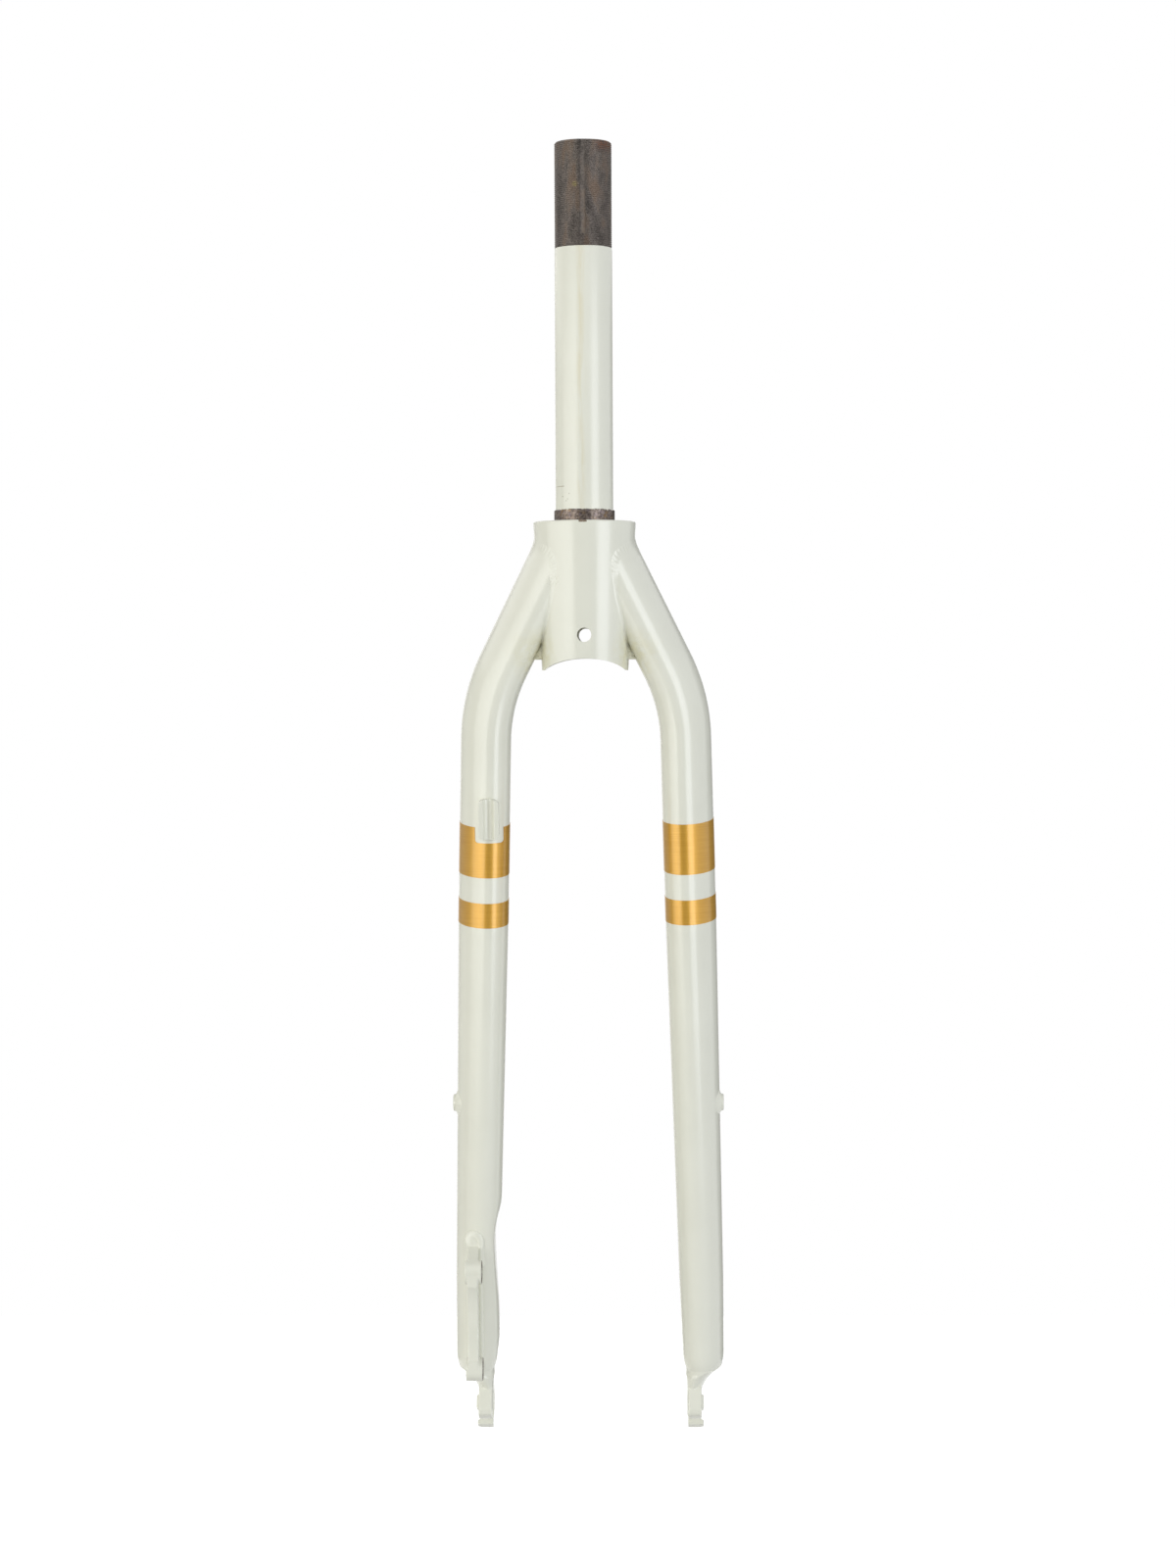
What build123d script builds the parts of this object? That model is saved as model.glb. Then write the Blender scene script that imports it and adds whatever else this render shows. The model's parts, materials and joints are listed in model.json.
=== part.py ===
from build123d import *
import math
import os

# Rigid steel fork, in millimetres.
# The origin is on the steerer axis, in the flat top of the crown where the lower bearing race sits.
# +Z runs up the steerer, +Y points forwards and +X to the rider's right.

# Steerer tube
steerer_od = 28.6
steerer_wall = 1.6
steerer_height = 187.0
steerer_insert = 22.0
steerer_chamfer = 0.7
thread_relief = 0.2
thread_length = 52.0
keyway_width = 3.0
keyway_depth = 1.0
keyway_length = 46.0
race_seat_step = 0.75
race_seat_height = 5.9
race_seat_chamfer = 0.5

# Crown tube
crown_top_od = 51.0
crown_bottom_od = 43.0
crown_height = 73.6
crown_wall = 3.0
crown_head = 12.0
crown_edge_round = 0.8
tyre_arch_width = 41.0
tyre_arch_rise = 5.8
tyre_arch_depth = 9.3
crown_hole_d = 7.0
crown_hole_rise = 17.4
steerer_weld_leg = 4.0

# Blades: their common plane leans forwards from the steerer axis to the axle
axle_drop = 450.0
axle_offset = 50.0
blade_pivot_drop = 30.0
blade_lean = 26.2
blade_start = 6.0
bend_half_span = 49.5
bend_drop = 58.8
bend_radius = 88.0
foot_half_span = 58.5
foot_rise = 19.0
taper_start_drop = 174.0
taper_knee_rise = 46.0
oval_turn = 15.0
oval_width = 24.5
oval_depth = 37.8
knee_width = 22.0
knee_depth = 29.5
foot_width = 20.2
foot_depth = 27.0
blade_wall = 1.2

# Crimp in the left blade that clears the brake rotor
crimp_half_span = 48.2
crimp_rise = 86.0
crimp_runout = 20.0
crimp_radius = 45.0

# Weld between blade and crown
bead_height = 1.4
root_fill_rise = 5.3
root_fill_height = 18.0
root_fill_depth = 15.0

# Dropouts
hub_width = 100.0
plate_thickness = 6.8
seat_pad_d = 18.0
seat_pad_height = 0.4
plate_radius = 12.5
neck_width = 17.0
neck_drop = 14.0
shoulder_drop = 7.0
shoulder_width = 10.4
shoulder_depth = 22.0
shoulder_shift = 1.7
plug_length = 14.0
plug_clearance = 0.1
axle_d = 9.0
axle_clearance = 0.4
slot_angle = 30.0
slot_length = 12.0
prong_corner = 3.0
lip_height = 1.2
lip_width = 4.5
rear_lip_start = 0.5
rear_lip_length = 7.0
front_lip_length = 2.6

# Disc brake tab, on the rear of the left blade
tab_hole_pitch = 51.0
tab_hole_d = 6.2
tab_hole_rise = 25.0
tab_hole_reach = 26.0
tab_face_inset = 3.9
tab_lug_d = 12.0
tab_lug_width = 8.5
tab_web = 5.2
tab_web_inset = 2.1
tab_foot_rise = 17.0
tab_foot_end = 5.0
tab_relief = 4.5
tab_bead = 1.6

# Hose guide, on the rear ridge of the left blade
guide_drop = 116.0
guide_width = 10.2
guide_length = 20.5
guide_height = 4.2
guide_corner = 3.0
hose_d = 5.4

# Threaded eyelet bosses, on the outer sides of the blades
eyelet_drop = 265.4
eyelet_od = 8.7
eyelet_height = 2.1
eyelet_depth = 4.0
eyelet_core_d = 4.2
eyelet_chamfer = 0.5
eyelet_weld_leg = 1.0

# Gold foil stripes
foil = 0.15
upper_stripe_drop = 119.0
upper_stripe_width = 25.4
stripe_gap = 13.0
lower_stripe_width = 12.5
notch_margin = 2.0
notch_corner = 1.6

rake = math.degrees(math.atan2(axle_offset, axle_drop - blade_pivot_drop))
axle_reach = math.hypot(axle_offset, axle_drop - blade_pivot_drop)
foot_drop = axle_reach - foot_rise
taper_knee_drop = foot_drop - taper_knee_rise
lower_hole_drop = axle_reach - tab_hole_rise
upper_hole_drop = lower_hole_drop - tab_hole_pitch
lower_stripe_drop = upper_stripe_drop + upper_stripe_width + stripe_gap
splay = math.degrees(math.atan2(foot_half_span - bend_half_span, foot_drop - bend_drop))

# Local x stays across the fork, local y runs down the blade and local z points forwards.
blade_plane = Plane(
    origin=(0, 0, -blade_pivot_drop),
    x_dir=(1, 0, 0),
    z_dir=(0, math.cos(math.radians(rake)), math.sin(math.radians(rake))),
)


def left(shape):
    return mirror(shape, about=Plane.YZ)


def axis_span(drop):
    return bend_half_span + (drop - bend_drop) * math.tan(math.radians(splay))


def between(drop, near, far, near_size, far_size):
    return near_size + (far_size - near_size) * (drop - near) / (far - near)


def oval_at(drop):
    # Width and depth of the blade's oval at a distance down the blade.
    if drop <= taper_start_drop:
        return oval_width, oval_depth
    if drop <= taper_knee_drop:
        ends = taper_start_drop, taper_knee_drop
        return between(drop, *ends, oval_width, knee_width), between(drop, *ends, oval_depth, knee_depth)
    ends = taper_knee_drop, foot_drop
    return between(drop, *ends, knee_width, foot_width), between(drop, *ends, knee_depth, foot_depth)


def reach(size, turn):
    # How far a turned oval reaches, to its tangent across the direction of turn.
    width, depth = size
    across = width / 2 * math.cos(math.radians(turn))
    along = depth / 2 * math.sin(math.radians(turn))
    return math.hypot(across, along)


def oval(span, drop, lean, width, depth):
    # The blade's section, with its rear edge turned in towards the wheel.
    side = math.sin(math.radians(lean))
    down = math.cos(math.radians(lean))
    at = Plane(origin=(span, drop, 0), x_dir=(down, -side, 0), z_dir=(side, down, 0))
    return at * Ellipse(width / 2, depth / 2, rotation=oval_turn)


def blade_oval(drop, grow=0.0):
    width, depth = oval_at(drop)
    return oval(axis_span(drop), drop, splay, width + 2 * grow, depth + 2 * grow)


def blade_form(grow):
    # The whole blade as a solid, larger than its outer skin by grow all round.
    rise = (bend_half_span - blade_start) / math.tan(math.radians(blade_lean))
    start = blade_start, bend_drop - rise
    corner = bend_half_span, bend_drop
    taper = axis_span(taper_start_drop), taper_start_drop
    route = FilletPolyline(start, corner, taper, radius=bend_radius)
    upper = sweep(oval(*start, blade_lean, oval_width + 2 * grow, oval_depth + 2 * grow), path=route)
    stops = taper_start_drop, taper_knee_drop, foot_drop
    lower = loft([blade_oval(stop, grow) for stop in stops], ruled=True)
    return blade_plane * (upper + lower)


def crown_form(grow):
    # The crown's cone as a solid, carried on above its top so that it cuts the blades cleanly.
    slope = (crown_top_od - crown_bottom_od) / 2 / crown_height
    extra = steerer_height
    low = crown_bottom_od / 2 + grow
    high = crown_top_od / 2 + grow + slope * extra
    cone = Cone(low, high, crown_height + extra, align=(Align.CENTER, Align.CENTER, Align.MIN))
    return Pos(0, 0, -crown_height) * cone


def steerer_tube():
    tube = steerer_od / 2
    bore = tube - steerer_wall
    thread = tube - thread_relief
    seat = tube + race_seat_step
    section = Polyline(
        (bore, -steerer_insert),
        (tube, -steerer_insert),
        (tube, 0),
        (seat, 0),
        (seat, race_seat_height - race_seat_chamfer),
        (seat - race_seat_chamfer, race_seat_height),
        (tube, race_seat_height),
        (tube, steerer_height - thread_length),
        (thread, steerer_height - thread_length),
        (thread, steerer_height - steerer_chamfer),
        (thread - steerer_chamfer, steerer_height),
        (bore, steerer_height),
        close=True,
    )
    key = Box(keyway_width, steerer_od, keyway_length, align=(Align.CENTER, Align.MAX, Align.MAX))
    key = Pos(0, keyway_depth - thread, steerer_height) * key
    return revolve(Plane.XZ * make_face(section), axis=Axis.Z) - key


def crown_tube():
    top = Align.CENTER, Align.CENTER, Align.MAX
    bottom = Align.CENTER, Align.CENTER, Align.MIN
    body = Cone(crown_bottom_od / 2, crown_top_od / 2, crown_height, align=top)
    body = fillet(body.edges().group_by(Axis.Z)[-1], crown_edge_round)
    slope = (crown_top_od - crown_bottom_od) / 2 / crown_height
    low = crown_bottom_od / 2 - crown_wall
    room = crown_height - crown_head
    hollow = Pos(0, 0, -crown_height) * Cone(low, low + slope * room, room, align=bottom)
    socket = Cylinder(steerer_od / 2, crown_head, align=top)
    cross = Rot(90, 0, 0) * Cylinder(crown_hole_d / 2, crown_top_od)
    cross = Pos(0, 0, crown_hole_rise - crown_height) * cross
    arch = Plane.XZ * Ellipse(tyre_arch_width / 2, tyre_arch_depth)
    arch = extrude(arch, amount=crown_top_od, both=True)
    arch = Pos(0, 0, tyre_arch_rise - tyre_arch_depth - crown_height) * arch
    return body - hollow - socket - cross - arch


def steerer_weld():
    inner = steerer_od / 2
    corner = inner, -crown_head
    foot = inner, -crown_head - steerer_weld_leg
    rim = inner + steerer_weld_leg, -crown_head
    return revolve(Plane.XZ * make_face(Polyline(corner, foot, rim, close=True)), axis=Axis.Z)


def crimp(inset):
    # The space pressed out of the left blade, on the right side until it is mirrored.
    face = crimp_half_span + inset
    step = crimp_radius - math.sqrt(crimp_radius**2 - crimp_runout**2)
    low = face, -axle_drop
    knee = face, crimp_rise - axle_drop
    head = face - step, crimp_rise + crimp_runout - axle_drop
    edge = Line(low, knee) + TangentArc(knee, head, tangent=(0, 1))
    edge += Polyline(head, (0, head[1]), (0, -axle_drop), low)
    return extrude(Plane.XZ * make_face(edge), amount=axle_offset + oval_depth, both=True)


def eyelet_axis():
    width, depth = oval_at(eyelet_drop)
    turn = math.radians(oval_turn)
    skin = 1 / math.hypot(math.cos(turn) / (width / 2), math.sin(turn) / (depth / 2))
    place = blade_plane * Pos(axis_span(eyelet_drop) + skin, eyelet_drop, 0)
    return Pos(*place.position)


def eyelet_plug():
    length = eyelet_depth + eyelet_height
    plug = Cylinder(eyelet_od / 2, length, align=(Align.CENTER, Align.CENTER, Align.MIN))
    plug = chamfer(plug.edges().group_by(Axis.Z)[-1], eyelet_chamfer)
    return eyelet_axis() * Rot(0, 90, 0) * Pos(0, 0, -eyelet_depth) * plug


def eyelet_boss():
    core = Cylinder(eyelet_core_d / 2, 2 * (eyelet_depth + eyelet_height))
    return eyelet_plug() - eyelet_axis() * Rot(0, 90, 0) * core


def eyelet_weld(core):
    # A fillet of weld metal round the boss, where it leaves the blade.
    inner = eyelet_od / 2
    fillet_ring = Cone(inner + 2 * eyelet_weld_leg, inner, 2 * eyelet_weld_leg)
    return eyelet_axis() * Rot(0, 90, 0) * fillet_ring - eyelet_plug() - core


def dropout_plug():
    return blade_plane * extrude(blade_oval(foot_drop, -blade_wall - plug_clearance), amount=-plug_length)


def dropout(plug):
    plane = Plane(origin=(0, axle_reach, 0), x_dir=(0, 0, 1), z_dir=(1, 0, 0))
    low = hub_width / 2 + seat_pad_height
    high = low + plate_thickness
    # In this sketch x points forwards and y up the blade.
    turn = Rot(0, 0, -(slot_angle + rake))
    neck_top = axle_reach - foot_drop - shoulder_drop
    mouth = slot_length + plate_radius
    head = Circle(plate_radius) + Pos(0, -slot_length / 2) * Rectangle(2 * plate_radius, slot_length)
    head = fillet(head.vertices().group_by(Axis.Y)[0], prong_corner)
    outline = turn * head + Rectangle(neck_width, neck_top, align=(Align.CENTER, Align.MIN))
    slot_width = axle_d + axle_clearance
    slot = Circle(slot_width / 2) + turn * Rectangle(slot_width, mouth, align=(Align.CENTER, Align.MAX))
    lips = Pos(-slot_width / 2, -rear_lip_start) * Rectangle(
        lip_width, rear_lip_length, align=(Align.MAX, Align.MAX)
    )
    lips += Pos(slot_width / 2 + lip_width / 2, -slot_length) * Rectangle(
        lip_width, front_lip_length, align=(Align.CENTER, Align.MIN)
    )
    plate = Pos(low, 0, 0) * extrude(plane * (outline - slot), amount=plate_thickness)
    pad = Circle(seat_pad_d / 2) - slot
    plate += Pos(low - seat_pad_height, 0, 0) * extrude(plane * pad, amount=seat_pad_height)
    plate += Pos(high, 0, 0) * extrude(plane * (turn * lips), amount=lip_height)
    middle = low + plate_thickness / 2
    shoulder = loft(
        [
            blade_oval(foot_drop),
            oval(middle + shoulder_shift, foot_drop + shoulder_drop, 0, shoulder_width, shoulder_depth),
            oval(middle, foot_drop + neck_drop, 0, plate_thickness, neck_width),
        ]
    )
    return blade_plane * (plate + shoulder) + plug


def tab_form(inner, outer):
    # The web of the disc brake tab, made thicker by inner on the wheel's side and outer on the other.
    plane = Plane(origin=(0, 0, 0), x_dir=(0, 1, 0), z_dir=(1, 0, 0))
    face = hub_width / 2 + tab_face_inset
    upper = Pos(upper_hole_drop, -tab_hole_reach) * Circle(tab_lug_d / 2)
    lower = Pos(lower_hole_drop, -tab_hole_reach) * Circle(tab_lug_d / 2)
    foot = Line((upper_hole_drop - tab_foot_rise, 0), (foot_drop - tab_foot_end, 0))
    web = make_hull(upper.edges() + lower.edges() + ShapeList([foot]))
    chord = tab_hole_pitch - tab_lug_d
    bow = (chord**2 / 4 + tab_relief**2) / (2 * tab_relief)
    back = tab_hole_reach + tab_lug_d / 2 + bow - tab_relief
    web -= Pos((upper_hole_drop + lower_hole_drop) / 2, -back) * Circle(bow)
    low = face + tab_web_inset - inner
    return blade_plane * (Pos(low, 0, 0) * extrude(plane * web, inner + tab_web + outer))


def disc_brake_tab(core):
    face = hub_width / 2 + tab_face_inset
    tab = tab_form(0, 0)
    for drop in (upper_hole_drop, lower_hole_drop):
        at = blade_plane * Pos(face, drop, -tab_hole_reach) * Rot(0, 90, 0)
        lug = Cylinder(tab_lug_d / 2, tab_lug_width, align=(Align.CENTER, Align.CENTER, Align.MIN))
        tab += at * lug
        tab -= at * Cylinder(tab_hole_d / 2, 2 * tab_lug_width)
    return tab - core


def guide_ridge():
    # How far the upper blade's rear ridge lies inwards of its axis, and how far behind it.
    turn = math.radians(oval_turn)
    back = reach((oval_depth, oval_width), oval_turn)
    swing = ((oval_depth / 2) ** 2 - (oval_width / 2) ** 2) * math.sin(turn) * math.cos(turn)
    return swing / back, back


def guide_place():
    # The middle of the guide's outer face.
    inwards, back = guide_ridge()
    return Pos(axis_span(guide_drop) - inwards, guide_drop, -back - guide_height)


def guide_block(margin, corner):
    # A rounded block that reaches into the blade, larger than the guide by margin all round.
    inwards, back = guide_ridge()
    pad = RectangleRounded(guide_width + 2 * margin, guide_length + 2 * margin, corner)
    return guide_place() * extrude(pad, amount=guide_height + back / 2)


def hose_guide(core):
    channel = guide_place() * Rot(90, 0, 0) * Cylinder(hose_d / 2, 2 * guide_length)
    return blade_plane * (guide_block(0, guide_corner) - channel) - core


def stripe(skin, drop, width):
    # A band of the foil skin, cut square to the blade's axis.
    slab = extrude(oval(axis_span(drop), drop, splay, 2 * oval_depth, 2 * oval_depth), amount=width)
    return skin & blade_plane * slab


def notch():
    # The part of the upper stripe that is cut away round the hose guide.
    return blade_plane * guide_block(notch_margin, notch_corner)


def crown_weld(core, cone):
    # A low bead round the joint, and the weld metal that fills the sharp corner under the blade.
    bead = blade_form(bead_height) & crown_form(bead_height)
    fill_drop = crown_height - root_fill_rise
    fill_top = (fill_drop - root_fill_height - blade_pivot_drop) / math.cos(math.radians(rake))
    span = bend_half_span - (bend_drop - fill_top) * math.tan(math.radians(blade_lean))
    fill = Box(span, root_fill_depth, root_fill_height, align=(Align.MIN, Align.CENTER, Align.MIN))
    return bead + Pos(0, 0, -fill_drop) * fill - core - cone


def build_nodes():
    core = blade_form(0)
    bore = blade_form(-blade_wall)
    skin = blade_form(foil) - core
    cone = crown_form(0)
    hole = eyelet_plug()
    right_blade = core - bore - cone - hole
    left_blade = (core - crimp(0)) - (bore - crimp(blade_wall)) - cone - hole
    crown_bead = crown_weld(core, cone)
    plug = dropout_plug()
    boss = eyelet_boss()
    boss_bead = eyelet_weld(core)
    tab = disc_brake_tab(core)
    tab_line = blade_form(tab_bead) - core - tab
    upper_stripe = stripe(skin, upper_stripe_drop, upper_stripe_width)
    lower_stripe = stripe(skin, lower_stripe_drop, lower_stripe_width)
    return {
        "steerer_tube": steerer_tube(),
        "crown_tube": crown_tube(),
        "steerer_weld": steerer_weld(),
        "right_blade": right_blade,
        "left_blade": left(left_blade),
        "right_crown_weld": crown_bead,
        "left_crown_weld": left(crown_bead),
        "right_dropout": dropout(plug),
        "left_dropout": left(dropout(plug - crimp(blade_wall + plug_clearance))),
        "right_eyelet_boss": boss,
        "left_eyelet_boss": left(boss),
        "right_eyelet_weld": boss_bead,
        "left_eyelet_weld": left(boss_bead),
        "disc_brake_tab": left(tab),
        "disc_tab_inner_weld": left(tab_line & tab_form(tab_bead, 0)),
        "disc_tab_outer_weld": left(tab_line & tab_form(0, tab_bead)),
        "hose_guide": left(hose_guide(core)),
        "right_upper_stripe": upper_stripe,
        "right_lower_stripe": lower_stripe,
        "left_upper_stripe": left(upper_stripe - notch()),
        "left_lower_stripe": left(lower_stripe),
    }


os.makedirs("parts", exist_ok=True)
for name, shape in build_nodes().items():
    export_step(shape, f"parts/{name}.step")
    print(name, round(shape.volume), len(shape.solids()))
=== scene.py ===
import json
import math
import bmesh
import bpy
from mathutils import Matrix, Vector


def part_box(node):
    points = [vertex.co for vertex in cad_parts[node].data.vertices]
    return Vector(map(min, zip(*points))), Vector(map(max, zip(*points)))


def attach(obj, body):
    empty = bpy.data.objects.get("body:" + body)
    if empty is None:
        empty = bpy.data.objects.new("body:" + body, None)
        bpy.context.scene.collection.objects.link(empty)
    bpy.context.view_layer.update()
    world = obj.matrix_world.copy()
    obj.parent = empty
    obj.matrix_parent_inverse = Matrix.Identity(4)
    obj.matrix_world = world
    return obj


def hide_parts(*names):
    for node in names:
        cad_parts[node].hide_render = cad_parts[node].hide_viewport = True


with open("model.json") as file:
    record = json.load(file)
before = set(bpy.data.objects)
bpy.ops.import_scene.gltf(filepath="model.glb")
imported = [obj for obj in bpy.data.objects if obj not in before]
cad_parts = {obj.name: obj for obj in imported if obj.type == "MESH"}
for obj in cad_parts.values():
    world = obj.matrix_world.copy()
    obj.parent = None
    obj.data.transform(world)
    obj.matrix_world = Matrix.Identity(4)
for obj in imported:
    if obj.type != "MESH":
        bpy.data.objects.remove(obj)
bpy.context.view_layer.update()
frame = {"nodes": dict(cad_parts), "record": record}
mountPlace = {mount["name"]: mount["pos_m"] for mount in frame["record"]["mounts"]}
mountRadius = {mount["name"]: mount["dims"].get("r_mm") for mount in frame["record"]["mounts"]}
mm = 0.001
print("frame loaded:", len(frame["nodes"]), "nodes")


# everyday helpers

def linear(hexColour):
    channels = [int(hexColour[place:place + 2], 16) / 255 for place in (1, 3, 5)]
    return [c / 12.92 if c <= 0.04045 else ((c + 0.055) / 1.055) ** 2.4 for c in channels] + [1.0]


def addNode(tree, kind, settings=None, links=None):  # a link given as a node starts at its live output
    made = tree.nodes.new("ShaderNode" + kind)
    for key, value in (settings or {}).items():
        if isinstance(key, str) and hasattr(made, key):
            setattr(made, key, value)
        else:
            made.inputs[key].default_value = value
    for key, source in (links or {}).items():
        if isinstance(source, bpy.types.Node):
            source = next(socket for socket in source.outputs if socket.enabled)
        tree.links.new(source, made.inputs[key])
    return made


def startMaterial(name, settings):
    material = bpy.data.materials.new(name)
    material.use_nodes = True
    tree = material.node_tree
    shader = tree.nodes["Principled BSDF"]
    for key, value in settings.items():
        shader.inputs[key].default_value = value
    place = addNode(tree, "TexCoord").outputs["Object"]
    return material, tree, shader, place


def easedShare(value, low, high):  # 0 below the low value, 1 above the high one, eased between them
    share = min(1.0, max(0.0, (value - low) / (high - low)))
    return share * share * (3 - 2 * share)


def activate(piece):
    bpy.ops.object.select_all(action="DESELECT")
    piece.select_set(True)
    bpy.context.view_layer.objects.active = piece


def editMode(piece):
    activate(piece)
    bpy.ops.object.mode_set(mode="EDIT")
    bpy.ops.mesh.select_all(action="SELECT")


def pickVerts(piece, test):  # edit mode: selects only the points that pass the test
    mesh = bmesh.from_edit_mesh(piece.data)
    for vert in mesh.verts:
        vert.select_set(False)
    for vert in mesh.verts:
        if test(vert.co):
            vert.select_set(True)
    mesh.select_flush(True)
    bmesh.update_edit_mesh(piece.data)


def closeMesh():  # edit mode: merges doubles, points the faces outwards, leaves edit mode
    bpy.ops.mesh.select_all(action="SELECT")
    bpy.ops.mesh.remove_doubles(threshold=0.002 * mm)
    bpy.ops.mesh.normals_make_consistent(inside=False)
    bpy.ops.object.mode_set(mode="OBJECT")


def fillEnds():  # edit mode: closes every open ring
    bpy.ops.mesh.select_mode(type="EDGE")
    bpy.ops.mesh.select_all(action="DESELECT")
    bpy.ops.mesh.select_non_manifold(extend=False)
    bpy.ops.mesh.edge_face_add()
    bpy.ops.mesh.select_mode(type="VERT")


def trim(place, facing):  # edit mode: cuts off what lies past a plane, and closes the cut
    bpy.ops.mesh.select_all(action="SELECT")
    bpy.ops.mesh.bisect(plane_co=Vector(place) * mm, plane_no=facing, clear_outer=True)
    fillEnds()


def applyModifier(piece, kind, settings):
    activate(piece)
    made = piece.modifiers.new(kind.title(), kind)
    for key, value in settings.items():
        setattr(made, key, value)
    bpy.ops.object.modifier_apply(modifier=made.name)


def cut(piece, cutter, operation="DIFFERENCE"):
    applyModifier(piece, "BOOLEAN", {"object": cutter, "operation": operation, "solver": "EXACT"})
    bpy.data.objects.remove(cutter)


def smooth(piece, angle):
    activate(piece)
    bpy.ops.object.shade_smooth_by_angle(angle=math.radians(angle))


def soften(piece, voxel, repeats):  # one skin with rounded edges, as paint leaves a forging or a weld
    applyModifier(piece, "REMESH", {"mode": "VOXEL", "voxel_size": voxel * mm})
    applyModifier(piece, "SMOOTH", {"factor": 0.5, "iterations": repeats})
    bpy.ops.object.shade_smooth()


def joinAll(name, pieces):
    activate(pieces[0])
    for piece in pieces:
        piece.select_set(True)
    bpy.ops.object.join()
    pieces[0].name = name
    return pieces[0]


def copyOf(piece, name):
    made = bpy.data.objects.new(name, piece.data.copy())
    bpy.context.scene.collection.objects.link(made)
    return made


def placeMesh(piece, matrix):
    piece.matrix_world = matrix
    activate(piece)
    bpy.ops.object.transform_apply(location=True, rotation=True, scale=True)


def mirrorAcross(piece, name):  # the same piece on the other side of the fork
    made = copyOf(piece, name)
    placeMesh(made, Matrix.Diagonal((-1, 1, 1, 1)))
    editMode(made)
    closeMesh()
    return made


def solidCopy(node):  # a closed copy of a CAD solid
    piece = copyOf(frame["nodes"][node], node + "_form")
    editMode(piece)
    closeMesh()
    return piece


def dress(piece, slot, replaced, *materials):
    piece.data.materials.clear()
    for material in materials:
        piece.data.materials.append(material)
    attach(piece, "root")
    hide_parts(*replaced)


def paintFaces(piece, number, test):
    for face in piece.data.polygons:
        if test(face.center / mm, face.normal):
            face.material_index = number


def drawOut(move, grow=(1.0, 1.0), centre=(0, 0, 0)):  # edit mode: the selected ring drawn on, and resized
    bpy.ops.mesh.extrude_region_move(TRANSFORM_OT_translate={"value": Vector(move) * mm})
    bpy.ops.transform.resize(value=(*grow, 1), center_override=Vector(centre) * mm)


def turned(name, steps, rings):  # as on a lathe: a circle drawn from ring to ring and back to the first
    radius, height = rings[0]
    bpy.ops.mesh.primitive_circle_add(vertices=steps, radius=radius * mm, location=(0, 0, height * mm))
    piece = bpy.context.object
    piece.name = name
    bpy.ops.object.transform_apply(location=True)
    editMode(piece)
    for newRadius, newHeight in rings[1:] + rings[:1]:
        grow = newRadius / radius
        drawOut((0, 0, newHeight - height), (grow, grow), (0, 0, newHeight))
        radius, height = newRadius, newHeight
    closeMesh()
    return piece


def addBlock(size, centre, corner=0.0, matrix=Matrix()):  # a box, its four long edges along z rounded
    bpy.ops.mesh.primitive_cube_add(size=1)
    piece = bpy.context.object
    placeMesh(piece, Matrix.Diagonal((*(Vector(size) * mm), 1)))
    if corner:
        bpy.ops.object.mode_set(mode="EDIT")
        for edge in bmesh.from_edit_mesh(piece.data).edges:
            ends = edge.verts[0].co - edge.verts[1].co
            edge.select_set(abs(ends.z) > abs(ends.x) + abs(ends.y))
        bpy.ops.mesh.select_mode(type="EDGE")
        bpy.ops.mesh.bevel(offset=corner * mm, segments=6)
        bpy.ops.mesh.select_mode(type="VERT")
        bpy.ops.object.mode_set(mode="OBJECT")
    placeMesh(piece, matrix @ Matrix.Translation(Vector(centre) * mm))
    return piece


# finishes

def product(tree, *values):
    made = values[0]
    for value in values[1:]:
        made = addNode(tree, "Math", {"operation": "MULTIPLY"}, {0: made, 1: value})
    return made


def layer(tree, under, over, *masks):  # one colour over another, where all the masks let it show
    settings, links = {"data_type": "RGBA", 7: linear(over)}, {0: product(tree, *masks)}
    if isinstance(under, str):
        settings[6] = linear(under)
    else:
        links[6] = under
    return addNode(tree, "Mix", settings, links)


def within(tree, value, middle, half, fade):  # 1 inside a band of a coordinate, fading to 0 at its ends
    away = addNode(tree, "Math", {"operation": "SUBTRACT", 1: middle * mm}, {0: value})
    away = addNode(tree, "Math", {"operation": "ABSOLUTE"}, {0: away})
    return addNode(tree, "MapRange", {"From Min": (half + fade) * mm, "From Max": half * mm}, {0: away})


def around(tree, place, centre, radius, core):  # 1 close to a point, fading to 0 at the radius
    away = addNode(tree, "VectorMath", {"operation": "DISTANCE", 1: Vector(centre) * mm}, {0: place})
    return addNode(tree, "MapRange", {"From Min": radius * mm, "From Max": core * mm}, {0: away})


def surface(tree, shader, colour, relief, strength, depth):  # the colour, and a relief of a depth in mm
    bump = addNode(tree, "Bump", {"Strength": strength, "Distance": depth * mm}, {"Height": relief})
    tree.links.new(colour.outputs[2], shader.inputs["Base Color"])
    tree.links.new(bump.outputs[0], shader.inputs["Normal"])


enamelLook = {"light": "#E6E6D9", "shade": "#DEDED0", "cloud": 24.0, "peel": 1.5}


def enamelTone(tree, place):
    size = 1 / (enamelLook["cloud"] * mm)
    cloud = addNode(tree, "TexNoise", {"Scale": size, "Detail": 4.0}, {"Vector": place})
    return layer(tree, enamelLook["shade"], enamelLook["light"], cloud)


def orangePeel(tree, shader, place, colour):
    size = 1 / (enamelLook["peel"] * mm)
    peel = addNode(tree, "TexNoise", {"Scale": size, "Detail": 1.0}, {"Vector": place})
    surface(tree, shader, colour, peel, 0.12, 0.05)


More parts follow.
